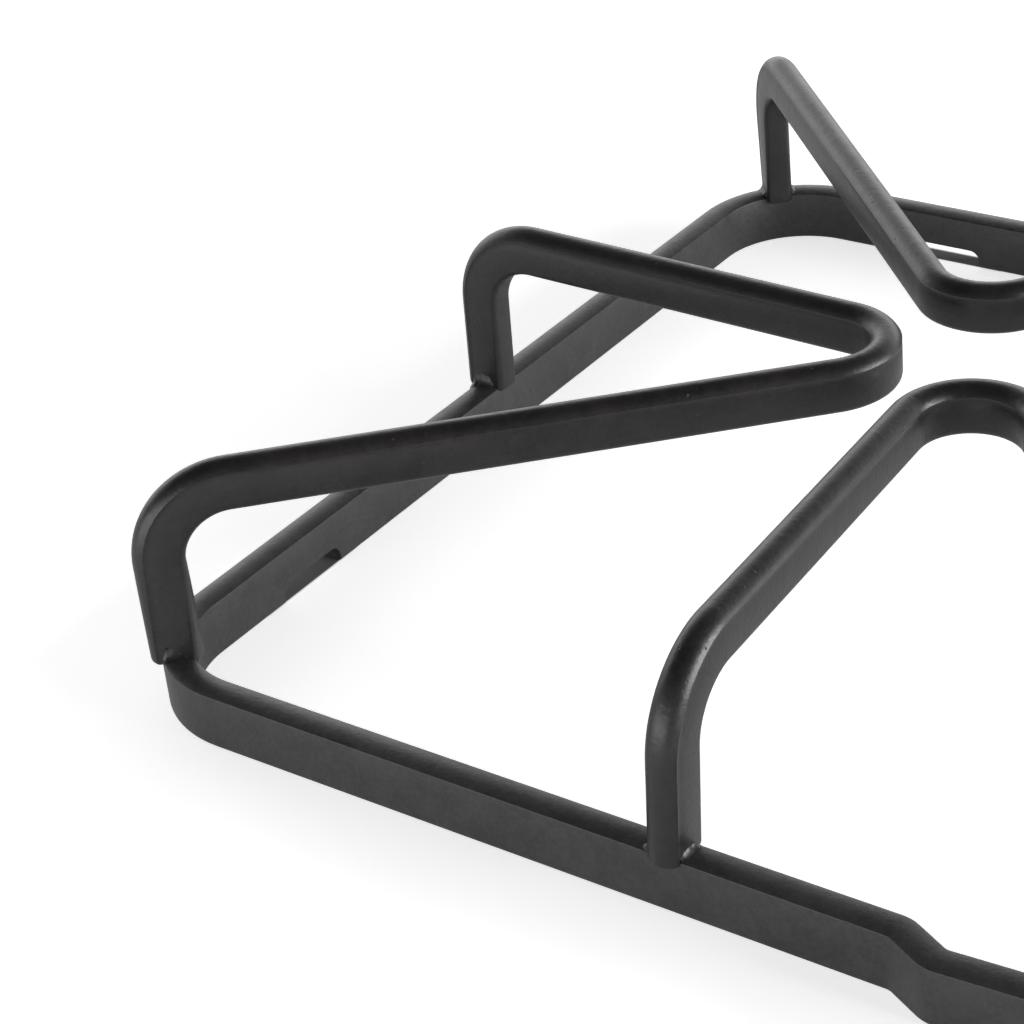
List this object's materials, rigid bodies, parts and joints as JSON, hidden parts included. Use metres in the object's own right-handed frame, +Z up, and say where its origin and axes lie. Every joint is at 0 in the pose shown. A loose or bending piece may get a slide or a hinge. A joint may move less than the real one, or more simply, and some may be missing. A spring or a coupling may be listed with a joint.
{
  "type": "burner grate",
  "caption": "Square enamelled steel grate for a gas burner: a flat-bar frame on edge with bent, domed V-shaped fingers that carry the pan.",
  "frame": {"origin": "middle of the square frame, on the surface that the grate stands on", "axes": "+Z up; +Y toward the back, away from the side with the step; +X to the right seen from that side"},
  "size_m": [0.22, 0.2224, 0.045],
  "materials": {
    "enamel": "satin black vitreous enamel, slightly orange-peeled"
  },
  "bodies": {
    "root": {"frame": "enamel", "finger_left": "enamel", "finger_back": "enamel", "finger_right": "enamel", "finger_front": "enamel"}
  },
  "joints": []
}
